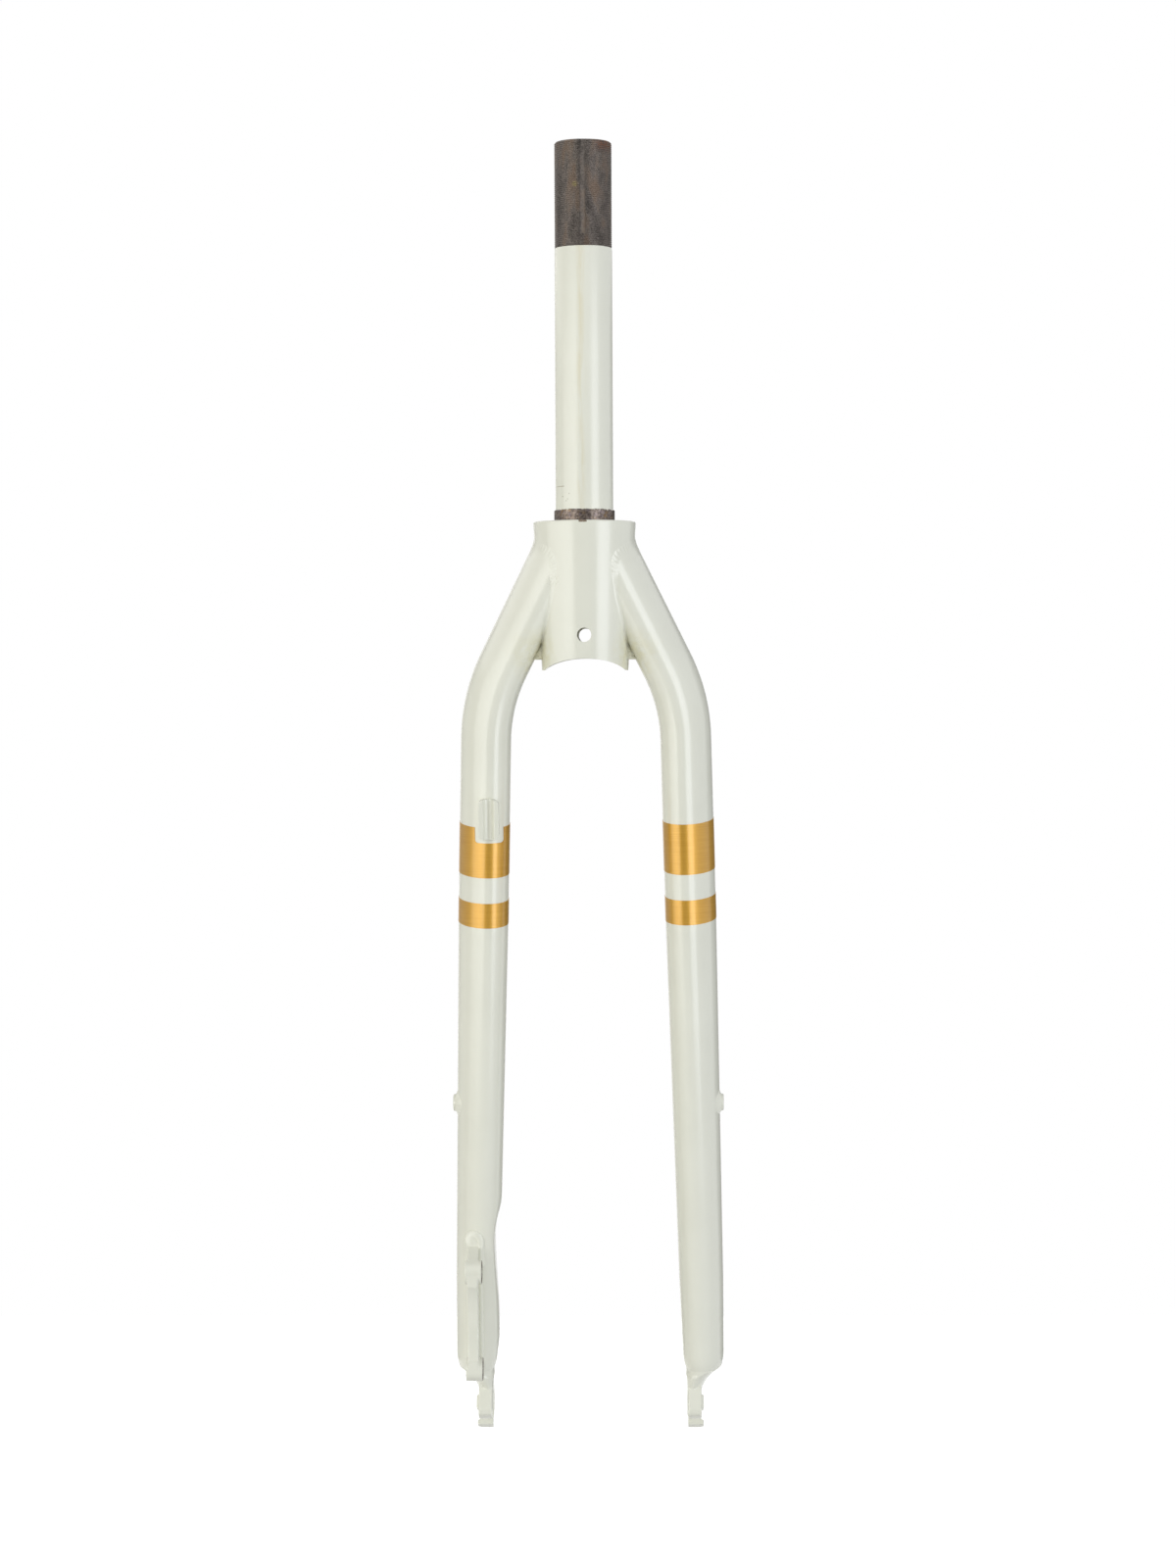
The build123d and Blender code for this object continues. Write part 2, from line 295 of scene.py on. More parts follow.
def makeCreamEnamel():
    # stoved gloss enamel over steel: an even warm white with a soft orange peel, with painted shade, a
    # greenish darkening, in the corners under the blades, dark grit there and on one rough weld, and worn
    # through on the crown's rim behind the race
    look = {"cornerShade": "#DCD9BF", "grit": "#B0AC90", "bare": "#6F5B45", "patch": 4.0, "grain": 0.6,
            "corner": ((24.5, -6.0, -65.0), 17.0), "rough": ((-15.5, -18.5, -29.0), 7.0), "core": 0.3,
            "rimPatch": (-0.3, 1.7), "rimDepth": 1.0, "rimRear": -15.0}
    material, tree, shader, place = startMaterial("stoved_cream_enamel", {"Roughness": 0.2})
    axes = addNode(tree, "SeparateXYZ", None, {0: place}).outputs
    aside = addNode(tree, "Math", {"operation": "ABSOLUTE"}, {0: axes["X"]})
    bothSides = addNode(tree, "CombineXYZ", None, {0: aside, 1: axes["Y"], 2: axes["Z"]})
    masks = []
    for spot, source in (("corner", bothSides), ("rough", place)):
        centre, radius = look[spot]
        masks.append(around(tree, source, centre, radius, radius * look["core"]))
    near = addNode(tree, "Math", {"operation": "MAXIMUM"}, {0: masks[0], 1: masks[1]})
    patch = addNode(tree, "TexNoise", {"Scale": 1 / (look["patch"] * mm), "Detail": 5.0}, {"Vector": place})
    thick = addNode(tree, "MapRange", {"From Min": 0.3, "From Max": 0.6}, {0: patch})
    # painted shade: the corners under the blades are darkened in patches towards a greenish grey
    cornerShaded = layer(tree, enamelTone(tree, place), look["cornerShade"], masks[0], thick)
    grit = addNode(tree, "TexNoise", {"Scale": 1 / (look["grain"] * mm), "Detail": 2.0}, {"Vector": place})
    grains = addNode(tree, "MapRange", {"From Min": 0.5, "From Max": 0.75, "To Max": 0.5}, {0: grit})
    gritty = layer(tree, cornerShaded, look["grit"], near, near, grains)
    rear = addNode(tree, "Math", {"operation": "LESS_THAN", 1: look["rimRear"] * mm}, {0: axes["Y"]})
    onRim = product(tree, within(tree, axes["X"], *look["rimPatch"], 1.2),
                    within(tree, axes["Z"], 0.0, look["rimDepth"], 0.3), rear)
    worn = addNode(tree, "Math", {"operation": "MULTIPLY_ADD", 1: 1.4, 2: -0.7}, {0: grit})
    worn = addNode(tree, "Math", {"operation": "ADD"}, {0: worn, 1: onRim})
    bare = addNode(tree, "MapRange", {"From Min": 0.6, "From Max": 0.8, "To Max": 0.9}, {0: worn})
    orangePeel(tree, shader, place, layer(tree, gritty, look["bare"], bare))
    return material


def makeAgedEnamel():
    # the same enamel on the steerer: yellowed in streaks down the rear, scuffed and chipped by the headset
    look = {"stain": "#D8CFAF", "scuff": "#A89F88", "chip": "#8B806A", "stainPlace": -1.5, "stainWidth": 3.2,
            "streak": 2.2, "rear": -10.0, "scuffZ": 17.2, "scuffEnds": (-13.9, -9.9), "chipSize": 1.7,
            "chipArea": (-9.0, 11.0)}
    material, tree, shader, place = startMaterial("aged_cream_enamel", {"Roughness": 0.24})
    axes = addNode(tree, "SeparateXYZ", None, {0: place}).outputs
    rear = addNode(tree, "MapRange", {"From Min": 0.0, "From Max": look["rear"] * mm}, {0: axes["Y"]})
    # long streaks: the pattern is stretched ten times down the tube
    down = addNode(tree, "Mapping", {"Scale": (1.0, 1.0, 0.1)}, {"Vector": place})
    streak = addNode(tree, "TexNoise", {"Scale": 1 / (look["streak"] * mm), "Detail": 3.0}, {"Vector": down})
    patch = addNode(tree, "MapRange", {"From Min": 0.45, "From Max": 0.7, "To Max": 0.6}, {0: streak})
    colour = layer(tree, enamelTone(tree, place), look["stain"],
                   within(tree, axes["X"], look["stainPlace"], 0.0, look["stainWidth"]), rear, patch)
    # one short scuff above the race seat, a third of a millimetre high
    left, right = look["scuffEnds"]
    colour = layer(tree, colour, look["scuff"], within(tree, axes["Z"], look["scuffZ"], 0.12, 0.1),
                   within(tree, axes["X"], (left + right) / 2, (right - left) / 2, 0.3), rear)
    # a few chips of about half a millimetre under it
    dots = addNode(tree, "TexVoronoi", {"Scale": 1 / (look["chipSize"] * mm)}, {"Vector": place})
    small = addNode(tree, "MapRange", {"From Min": 0.24, "From Max": 0.14, "To Max": 0.8}, {0: dots})
    aside, up = look["chipArea"]
    colour = layer(tree, colour, look["chip"], within(tree, axes["X"], aside, 2.0, 0.8),
                   within(tree, axes["Z"], up, 2.5, 0.8), rear, small)
    orangePeel(tree, shader, place, colour)
    return material


def makeGoldFoil():
    # lacquered gold transfer foil: a warm satin metal with fine lines round the tube, paler where the
    # lacquer shines
    look = {"light": "#CFA145", "dark": "#BA8A32", "line": 0.5, "run": 18.0}
    material, tree, shader, place = startMaterial("lacquered_gold_foil", {
        "Metallic": 0.5, "Roughness": 0.4, "Specular IOR Level": 0.0, "Coat Weight": 0.6,
        "Coat Roughness": 0.2, "Coat IOR": 1.6})
    # the real lines are about 0.1 mm, drawn at half a millimetre so that they show
    run, line = 1 / (look["run"] * mm), 1 / (look["line"] * mm)
    stretch = addNode(tree, "Mapping", {"Scale": (run, run, line)}, {"Vector": place})
    lines = addNode(tree, "TexNoise", {"Scale": 1.0, "Detail": 3.0}, {"Vector": stretch})
    surface(tree, shader, layer(tree, look["dark"], look["light"], lines), lines, 0.2, 0.05)
    return material


def makeThreadSteel():
    # cut steel thread, oiled and handled: brown-grey, clouded by old grease, rusted at one upper edge
    look = {"steel": "#837B75", "grime": "#48433F", "brown": "#705F50", "rust": "#74482F", "spot": "#A39A62",
            "grain": 0.8, "cloud": 5.0, "rustCorner": (9.0, 184.0), "rustFade": 4.0,
            "spotPlace": (-3.8, -13.5, 165.0), "spotRadius": 1.8, "spotCore": 0.4}
    material, tree, shader, place = startMaterial("cut_thread_steel", {"Metallic": 0.8, "Roughness": 0.5})
    axes = addNode(tree, "SeparateXYZ", None, {0: place}).outputs
    grain = addNode(tree, "TexNoise", {"Scale": 1 / (look["grain"] * mm), "Detail": 5.0}, {"Vector": place})
    # the clouds run down the tube, so the pattern is stretched three times that way
    down = addNode(tree, "Mapping", {"Scale": (1.0, 1.0, 0.35)}, {"Vector": place})
    cloud = addNode(tree, "TexNoise", {"Scale": 1 / (look["cloud"] * mm), "Detail": 6.0}, {"Vector": down})
    depth = addNode(tree, "Math", {"operation": "ADD"}, {0: grain, 1: cloud})
    depth = addNode(tree, "MapRange", {"From Min": 0.7, "From Max": 1.25}, {0: depth})
    greased = addNode(tree, "MapRange", {"From Min": 0.5, "From Max": 0.66, "To Max": 0.7}, {0: cloud})
    colour = layer(tree, layer(tree, look["grime"], look["steel"], depth), look["brown"], greased)
    corner = []
    for axis, edge in zip("XZ", look["rustCorner"]):
        ends = {"From Min": (edge - look["rustFade"]) * mm, "From Max": edge * mm}
        corner.append(addNode(tree, "MapRange", ends, {0: axes[axis]}))
    patchy = addNode(tree, "MapRange", {"From Min": 0.4, "From Max": 0.6, "To Max": 0.8}, {0: grain})
    colour = layer(tree, colour, look["rust"], *corner, patchy)
    # one greenish spot of old oil beside the keyway, broken up by the grain
    oiled = around(tree, place, look["spotPlace"], look["spotRadius"], look["spotCore"])
    surface(tree, shader, layer(tree, colour, look["spot"], oiled, patchy), grain, 0.4, 0.08)
    return material


def makeSeatSteel():
    # turned steel race seat: pitted grey-brown, tinted straw and violet by the heat, with ragged enamel at
    # its upper edge
    look = {"dark": "#4D433E", "steel": "#7D7169", "straw": "#86693F", "violet": "#6C606E",
            "enamel": "#DEDCCF", "pit": 1.1, "tint": 2.4, "edge": 5.7, "rag": 3.0, "ragFade": 0.2}
    material, tree, shader, place = startMaterial("heat_tinted_steel", {"Roughness": 0.4})
    height = addNode(tree, "SeparateXYZ", None, {0: place}).outputs["Z"]
    pits = addNode(tree, "TexNoise", {"Scale": 1 / (look["pit"] * mm), "Detail": 6.0}, {"Vector": place})
    worn = addNode(tree, "MapRange", {"From Min": 0.38, "From Max": 0.62}, {0: pits})
    tint = addNode(tree, "TexNoise", {"Scale": 1 / (look["tint"] * mm), "Detail": 2.0}, {"Vector": place})
    straw = addNode(tree, "MapRange", {"From Min": 0.57, "From Max": 0.7, "To Max": 0.5}, {0: tint})
    violet = addNode(tree, "MapRange", {"From Min": 0.44, "From Max": 0.32, "To Max": 0.5}, {0: tint})
    colour = layer(tree, layer(tree, look["dark"], look["steel"], worn), look["straw"], straw)
    colour = layer(tree, colour, look["violet"], violet)
    rag = {"operation": "MULTIPLY_ADD", 1: look["rag"] * mm}
    ragged = addNode(tree, "Math", rag, {0: pits, 2: height})
    edge = look["edge"] + look["rag"] / 2
    ends = {"From Min": edge * mm, "From Max": (edge + look["ragFade"]) * mm}
    flake = addNode(tree, "MapRange", ends, {0: ragged})
    metal = addNode(tree, "MapRange", {"To Min": 0.75, "To Max": 0.0}, {0: flake})
    tree.links.new(metal.outputs[0], shader.inputs["Metallic"])
    surface(tree, shader, layer(tree, colour, look["enamel"], flake), pits, 0.5, 0.15)
    return material


def makeBareSteel():
    # drawn steel left bare inside the tubes: dull grey-brown, mottled by the first rust
    look = {"steel": "#6A645E", "rust": "#5A4433", "patch": 5.0}
    material, tree, shader, place = startMaterial("bare_drawn_steel", {"Metallic": 0.7, "Roughness": 0.55})
    patch = addNode(tree, "TexNoise", {"Scale": 1 / (look["patch"] * mm), "Detail": 5.0}, {"Vector": place})
    colour = layer(tree, look["steel"], look["rust"], patch)
    tree.links.new(colour.outputs[2], shader.inputs["Base Color"])
    return material


creamEnamel = makeCreamEnamel()
agedEnamel = makeAgedEnamel()
goldFoil = makeGoldFoil()
threadSteel = makeThreadSteel()
seatSteel = makeSeatSteel()
bareSteel = makeBareSteel()
print("finishes ready")


# steerer: a turned tube, threaded at the top, with a keyway down the rear

steererForm = {
    "top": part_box("steerer_tube")[1].z / mm, "foot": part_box("steerer_tube")[0].z / mm, "tube": 14.3,
    "bore": mountRadius["quill_bore"], "seat": mountRadius["crown_race_seat"], "seatSunk": 0.2,
    "seatHeight": 5.9, "seatChamfer": 0.5, "paintEdge": 0.4, "threadLength": 52.0, "tuck": 0.6,
    "crest": 14.2, "root": 13.8, "pitch": 25.4 / 26, "flank": 0.36, "flat": 0.14, "chamfer": 0.7,
    "chamferHeight": 0.8, "keyWidth": 3.0, "keyDepth": 1.0, "keyLength": 46.0, "sides": 128,
    "threadSides": 96, "slack": 0.05,
}


def makeThread(form):  # a 26 per inch thread: one tooth, screwed round the axis and trimmed
    top, low = form["top"], form["top"] - form["threadLength"] - form["tuck"]
    pitch, tooth = form["pitch"], form["crest"] - form["root"]
    bpy.ops.mesh.primitive_plane_add(size=mm, location=(form["root"] * mm, 0, (low - 2 * pitch) * mm))
    piece = bpy.context.object
    bpy.ops.object.transform_apply(location=True)
    editMode(piece)
    bpy.ops.mesh.merge(type="CENTER")
    for out, share in ((tooth, "flank"), (0, "flat"), (-tooth, "flank"), (0, "flat")):
        move = (out * mm, 0, form[share] * pitch * mm)
        bpy.ops.mesh.extrude_region_move(TRANSFORM_OT_translate={"value": move})
    bpy.ops.object.mode_set(mode="OBJECT")
    turns = math.ceil((top - low) / pitch) + 4
    applyModifier(piece, "SCREW", {"angle": math.tau, "screw_offset": pitch * mm, "iterations": turns,
                                   "steps": form["threadSides"], "render_steps": form["threadSides"]})
    editMode(piece)
    bpy.ops.mesh.remove_doubles(threshold=0.01 * mm)
    trim((0, 0, low), (0, 0, -1))
    trim((0, 0, top), (0, 0, 1))
    closeMesh()
    blank = turned("thread_blank", form["sides"], [
        (form["bore"], low), (form["tube"], low), (form["tube"], top - form["chamferHeight"]),
        (form["crest"] - form["chamfer"], top), (form["bore"], top)])
    cut(piece, blank, "INTERSECT")
    floor, past = form["crest"] - form["keyDepth"], 2.0  # the cutter stands this far past the steel
    key = addBlock((form["keyWidth"], 3 * past, form["keyLength"] + past),
                   (0, -floor - 1.5 * past, top - form["keyLength"] / 2 + past / 2))
    cut(piece, key)
    return piece


def makeSteerer():
    form = steererForm
    tube, sunk, edge, slack = form["tube"], -form["seatSunk"], form["paintEdge"], form["slack"]
    shoulder = form["top"] - form["threadLength"]
    painted = turned("steerer", form["sides"], [
        (form["bore"], form["foot"]), (tube, form["foot"]), (tube, sunk), (form["seat"], sunk),
        (form["seat"], form["seatHeight"] - form["seatChamfer"]),
        (form["seat"] - form["seatChamfer"], form["seatHeight"]), (tube, form["seatHeight"]),
        (tube, shoulder - edge), (tube - 0.3 * edge, shoulder - 0.25 * edge), (tube - edge, shoulder),
        (form["bore"], shoulder)])
    piece = joinAll("steerer", [painted, makeThread(form)])
    smooth(piece, 35)
    dress(piece, "steerer", ["steerer_tube"], agedEnamel, threadSteel, seatSteel, bareSteel)
    paintFaces(piece, 1, lambda at, facing: at.z > shoulder - slack)
    paintFaces(piece, 2, lambda at, facing: sunk - slack < at.z < form["seatHeight"] + slack)
    paintFaces(piece, 3, lambda at, facing: at.xy.length < form["bore"] + slack or at.z < sunk - slack)


makeSteerer()
print("steerer done")


# crown: a hollow cone with an arched foot and a cross hole

crownForm = {
    "height": -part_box("crown_tube")[0].z / mm, "topRadius": 25.5, "footRadius": 21.5, "wall": 3.0,
    "head": 12.0, "round": 0.8, "archWidth": 43.0, "archRise": 5.8, "archDepth": 9.3, "edge": 0.4,
    "sides": 160, "holeSides": 64, "hole": mountRadius["crown_bolt_hole"],
    "holeZ": mountPlace["crown_bolt_hole"][2] / mm,
}
crownForm["slope"] = (crownForm["topRadius"] - crownForm["footRadius"]) / crownForm["height"]


def crownRadius(height):
    return crownForm["topRadius"] + crownForm["slope"] * height


def makeCrown():
    form = crownForm
    inside = form["footRadius"] - form["wall"]
    rings = [(inside, -form["height"]), (form["footRadius"], -form["height"])]
    for step in range(5):  # the rounded upper rim
        angle = math.radians(step * 22.5)
        rim = form["topRadius"] - form["round"] * (1 - math.cos(angle)) - form["slope"] * form["round"]
        rings.append((rim, form["round"] * (math.sin(angle) - 1)))
    socket = steererForm["tube"]
    rings += [(socket, 0), (socket, -form["head"]),
              (inside + form["slope"] * (form["height"] - form["head"]), -form["head"])]
    piece = turned("crown", form["sides"], rings)
    arch = (form["archWidth"] / 2, form["archDepth"], form["archRise"] - form["archDepth"] - form["height"])
    hole = (form["hole"], form["hole"], form["holeZ"])
    for (half, rise, height), sides in ((arch, form["sides"]), (hole, form["holeSides"])):
        bpy.ops.mesh.primitive_cylinder_add(vertices=sides, radius=1, depth=1)
        cutter = bpy.context.object
        size = Matrix.Diagonal((half * mm, rise * mm, 4 * form["topRadius"] * mm, 1))  # right through
        upright = Matrix.Rotation(math.radians(90), 4, "X")
        placeMesh(cutter, Matrix.Translation((0, 0, height * mm)) @ upright @ size)
        cut(piece, cutter)
    applyModifier(piece, "BEVEL", {"width": form["edge"] * mm, "segments": 3, "limit_method": "ANGLE",
                                   "angle_limit": math.radians(50), "use_clamp_overlap": True})
    smooth(piece, 40)
    dress(piece, "cream_enamel", ["crown_tube"], creamEnamel)


makeCrown()
print("crown done")


# blades: bent and tapered oval tubes, drawn upright from the foot and then set in their plane

axle = Vector(mountPlace["right_axle"]) / mm
bladeForm = {
    "pivotDrop": 30.0, "lean": 26.2, "start": 6.0, "bendSpan": 49.5, "bendDrop": 58.8, "bendRadius": 88.0,
    "footSpan": 58.5, "footRise": 19.0, "kneeRise": 46.0, "taperDrop": 174.0, "turn": 15.0,
    "upper": (24.5, 37.8), "knee": (22.0, 29.5), "foot": (20.2, 27.0), "sides": 96,
    "endRings": 12, "taperRings": 72, "bendRings": 24, "topRings": 10, "coreEnds": (-40.0, 120.0),
    "coreAxis": 0.01, "crimpSpan": 48.2, "crimpZ": axle.z + 86.0, "crimpRadius": 45.0, "crimpBlend": 0.7,
    "crimpRelease": 2.0, "releaseDepth": (0.0, 58.0), "swell": 0.05, "swellFrom": 68.5,
    "swellEnd": (50.0, 66.0), "endRound": 6.6, "endBelow": 5.0, "endInset": 5.5, "endMost": 1.1,
}
axleReach = math.hypot(axle.y, -axle.z - bladeForm["pivotDrop"])
rake = math.atan2(axle.y, -axle.z - bladeForm["pivotDrop"])
footDrop = axleReach - bladeForm["footRise"]
kneeDrop = footDrop - bladeForm["kneeRise"]
splay = math.atan2(bladeForm["footSpan"] - bladeForm["bendSpan"], footDrop - bladeForm["bendDrop"])
perDrop = 1 / math.cos(splay)  # length along a blade for each mm down it
bladePlane = Matrix.Translation((0, 0, -bladeForm["pivotDrop"] * mm)) @ Matrix.Rotation(rake, 4, "X")


def spanAt(drop):
    return bladeForm["bendSpan"] + (drop - bladeForm["bendDrop"]) * math.tan(splay)


def ovalAt(drop, growth=0.0):  # width and depth of the blade at a distance down it
    upper, knee, foot = bladeForm["upper"], bladeForm["knee"], bladeForm["foot"]
    start, end, share = upper, upper, 0.0
    if drop > kneeDrop:
        start, end, share = knee, foot, (drop - kneeDrop) / (footDrop - kneeDrop)
    elif drop > bladeForm["taperDrop"]:
        start, end = upper, knee
        share = (drop - bladeForm["taperDrop"]) / (kneeDrop - bladeForm["taperDrop"])
    return [a + (b - a) * share + 2 * growth for a, b in zip(start, end)]


def endInset(drop):  # how far the blade's rounded end draws in, and the dropout's shoulder under it
    share = (drop - footDrop + bladeForm["endRound"]) / (bladeForm["endRound"] + bladeForm["endBelow"])
    share = min(1.0, max(0.0, share))
    return min(bladeForm["endMost"], bladeForm["endInset"] * (1 - math.sqrt(1 - share**2)))


def bladeFrame(drop, lean=splay):  # at a distance down the right blade: z up its axis, y forwards
    place = Matrix.Translation((spanAt(drop) * mm, 0, -drop * mm))
    turn = Matrix.Rotation(math.radians(-bladeForm["turn"]), 4, "Z")
    return bladePlane @ place @ Matrix.Rotation(-lean, 4, "Y") @ turn


def addOval(name, size):  # starts an upright blade at the origin, in edit mode
    bpy.ops.mesh.primitive_circle_add(vertices=bladeForm["sides"], radius=mm)
    piece = bpy.context.object
    piece.name = name
    editMode(piece)
    bpy.ops.transform.resize(value=(size[0] / 2, size[1] / 2, 1), center_override=(0, 0, 0))
    return piece


def drawOval(name, stops, tilt=0.0):  # an oval drawn through (drop, growth) stops and closed
    firstDrop = stops[0][0]
    size = ovalAt(*stops[0])
    piece = addOval(name, size)
    height = 0.0
    for drop, growth in stops[1:] + stops[:1]:
        newSize = ovalAt(drop, growth)
        newHeight = (firstDrop - drop) * perDrop
        drawOut((0, 0, newHeight - height), (newSize[0] / size[0], newSize[1] / size[1]), (0, 0, newHeight))
        size, height = newSize, newHeight
    closeMesh()
    slant = Matrix.Identity(4)
    slant[2][0] = -math.tan(math.radians(tilt))  # the outer side sits lower, still on the straight tube
    piece.data.transform(slant)
    placeMesh(piece, bladeFrame(firstDrop))
    return piece


def makeBlade():
    form = bladeForm
    lean = math.radians(form["lean"])
    bend = lean - splay
    turn = Matrix.Rotation(math.radians(form["turn"]), 3, "Z")
    tangent = form["bendRadius"] * math.tan(bend / 2)
    size = ovalAt(footDrop, -endInset(footDrop))  # drawn round at the end, over the dropout
    piece = addOval("right_blade", size)
    height, drop = 0.0, footDrop
    for stop, rings in ((footDrop - form["endRound"], form["endRings"]), (kneeDrop, form["endRings"]),
                        (form["taperDrop"], form["taperRings"])):
        rise = (drop - stop) / rings
        for ring in range(rings):
            drop -= rise
            newSize = ovalAt(drop, -endInset(drop))
            height += rise * perDrop
            drawOut((0, 0, rise * perDrop), (newSize[0] / size[0], newSize[1] / size[1]), (0, 0, height))
            size = newSize
    rise = (drop - form["bendDrop"]) * perDrop - tangent
    for ring in range(form["endRings"]):
        drawOut((0, 0, rise / form["endRings"]))
    height += rise
    centre = turn @ Vector((-form["bendRadius"], 0, height)) * mm
    bpy.ops.mesh.spin(steps=form["bendRings"], angle=bend, center=centre, axis=turn @ Vector((0, 1, 0)))
    reach = (form["bendSpan"] - form["start"]) / math.sin(lean) - tangent
    along = turn @ Vector((-math.sin(bend), 0, math.cos(bend)))
    for ring in range(form["topRings"]):
        drawOut(along * reach / form["topRings"])
    fillEnds()
    closeMesh()
    placeMesh(piece, bladeFrame(footDrop))
    low, high = form["coreEnds"][0] - crownForm["height"], form["coreEnds"][1]
    wallMiddle = crownForm["wall"] / 2  # the blade stops inside the crown's wall
    skin = [(crownRadius(end) - wallMiddle, end) for end in (low, high)]
    core = turned("crown_core", form["sides"], [(form["coreAxis"], low), *skin, (form["coreAxis"], high)])
    cut(piece, core)
    return piece


def crimpBlade(piece):  # presses the rotor clearance into the left blade, whose end stays round
    form = bladeForm
    for vert in piece.data.vertices:
        span, height = -vert.co.x / mm, vert.co.z / mm
        up = max(0.0, height - form["crimpZ"])
        if up < form["crimpRadius"]:
            release = easedShare(form["crimpZ"] - height, *form["releaseDepth"])
            face = form["crimpSpan"] - form["crimpRadius"] + math.sqrt(form["crimpRadius"]**2 - up**2)
            face -= form["crimpRelease"] * release
            past = (span - face) / form["crimpBlend"]
            if past < 30:  # further out the skin stays where it was
                span = face + form["crimpBlend"] * math.log1p(math.exp(past))
            swell = form["swell"] * release * (1 - easedShare(form["crimpZ"] - height, *form["swellEnd"]))
            vert.co.x = ((form["swellFrom"] - span) * (1 + swell) - form["swellFrom"]) * mm


rightBlade = makeBlade()
leftBlade = mirrorAcross(rightBlade, "left_blade")
crimpBlade(leftBlade)
for blade, node in ((rightBlade, "right_blade"), (leftBlade, "left_blade")):
    smooth(blade, 40)
    dress(blade, "cream_enamel", [node], creamEnamel)
    blade.name = node + "_tube"
print("blades done")


# stripes: bands of foil round each blade, the left upper one cut out round the hose guide

stripeForm = {"foil": 0.15, "sunk": 0.1, "upper": (119.0, 25.4), "lower": (157.4, 12.5), "rings": 8,
              "notch": (14.2, 24.5, 24.0), "notchDrop": 116.0, "notchCorner": 1.6, "leftLower": 1.4,
              "tilt": 1.5}


def makeStripe(name, drop, width):
    rings, sunk = stripeForm["rings"], -stripeForm["sunk"]
    skin = [(drop + width * ring / rings, stripeForm["foil"]) for ring in range(rings + 1)]
    return drawOval(name, [(drop, sunk)] + skin + [(drop + width, sunk)], stripeForm["tilt"])


def guideFoot():  # the middle of the hose guide's foot, on the rear of the left blade
    turn = math.radians(bladeForm["turn"])
    half = [side / 2 for side in bladeForm["upper"]]
    back = math.hypot(half[1] * math.cos(turn), half[0] * math.sin(turn))
    inwards = (half[1]**2 - half[0]**2) * math.sin(turn) * math.cos(turn) / back
    drop = stripeForm["notchDrop"]
    return Matrix.Translation(Vector((inwards - spanAt(drop), -back, -drop)) * mm)


def makeStripes():
    for stripe in ("upper", "lower"):
        drop, width = stripeForm[stripe]
        rightStripe = makeStripe("right_" + stripe + "_foil", drop, width)
        lower = makeStripe("lower_foil", drop + stripeForm["leftLower"], width)
        leftStripe = mirrorAcross(lower, "left_" + stripe + "_foil")
        bpy.data.objects.remove(lower)
        if stripe == "upper":
            facing = Matrix.Rotation(math.radians(90), 4, "X")
            notch = addBlock(stripeForm["notch"], (0, 0, 0), stripeForm["notchCorner"],
                             bladePlane @ guideFoot() @ facing)
            cut(leftStripe, notch)
        for piece, side in ((rightStripe, "right_"), (leftStripe, "left_")):
            smooth(piece, 40)
            dress(piece, "gold_foil", [side + stripe + "_stripe"], goldFoil)


makeStripes()
print("stripes done")


# forged and welded-on pieces: their CAD forms with the edges drawn soft by the enamel

softForm = {"dropout": (0.35, 5), "tab": (0.32, 4), "guide": (0.2, 8), "collarEnds": (0.3, -2.0),
            "collarProud": 0.12, "collarSunk": 0.15, "collarDepth": 3.0, "give": 0.7, "giveFrom": 3.0,
            "dome": (6.0, 1.0), "domeSmooth": 14, "faced": (0.3, 0.8)}


def drawIn(piece, way):  # keeps the dropout's shoulder within the line of the blade's rounded end
    upright = bladePlane.inverted()
    for vert in piece.data.vertices:
        point = Vector((vert.co.x * way, vert.co.y, vert.co.z))
        drop = -(upright @ point).z / mm
        if abs(drop - footDrop) < bladeForm["endRound"]:
            place = bladeFrame(drop)
            local = place.inverted() @ point / mm
            give = softForm["give"] * max(0.0, drop - footDrop - softForm["giveFrom"])  # lets go at the neck
            half = [side / 2 for side in ovalAt(drop, give - endInset(drop))]
            past = math.hypot(local.x / half[0], local.y / half[1])
            if past > 1:
                point = place @ (Vector((local.x / past, local.y / past, local.z)) * mm)
                vert.co = (point.x * way, point.y, point.z)


def makeDropouts():
    form = softForm
    low, high = (footDrop + end for end in form["collarEnds"])
    inside = -form["collarDepth"]
    collar = drawOval("dropout_collar", [(low, inside), (low, form["collarProud"] - endInset(low)),
                                         (high, -form["collarSunk"] - endInset(high)), (high, inside)])
    leftCollar = mirrorAcross(collar, "left_dropout_collar")
    crimpBlade(leftCollar)
    for side, ring, way in (("right", collar, 1), ("left", leftCollar, -1)):
        piece = joinAll(side + "_tip", [solidCopy(side + "_dropout"), ring])
        soften(piece, *form["dropout"])
        drawIn(piece, way)
        low, high = (bladePlane @ Vector((0, 0, -(footDrop + move) * mm)) for move in form["dome"])
        bpy.ops.object.mode_set(mode="EDIT")
        pickVerts(piece, lambda at: low.z < at.z - (at.y - low.y) * math.tan(rake) < high.z)
        bpy.ops.mesh.vertices_smooth(factor=0.5, repeat=form["domeSmooth"])
        bpy.ops.object.mode_set(mode="OBJECT")
        dress(piece, "cream_enamel", [side + "_dropout"], creamEnamel)


def makeTabAndGuide():
    for node, name, kind in (("disc_brake_tab", "brake_tab", "tab"), ("hose_guide", "hose_saddle", "guide")):
        piece = solidCopy(node)
        soften(piece, *softForm[kind])
        dress(piece, "cream_enamel", [node], *([creamEnamel, bareSteel] if kind == "tab" else [creamEnamel]))
        piece.name = name
        if kind == "tab":  # the lugs' faced inner ends
            depth, square = softForm["faced"]
            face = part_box(node)[1].x / mm - depth
            paintFaces(piece, 1, lambda at, facing: at.x > face and facing.x > square)


makeDropouts()
makeTabAndGuide()
print("dropouts, brake tab and hose guide done")


# eyelets: threaded bosses on the outer sides of the blades

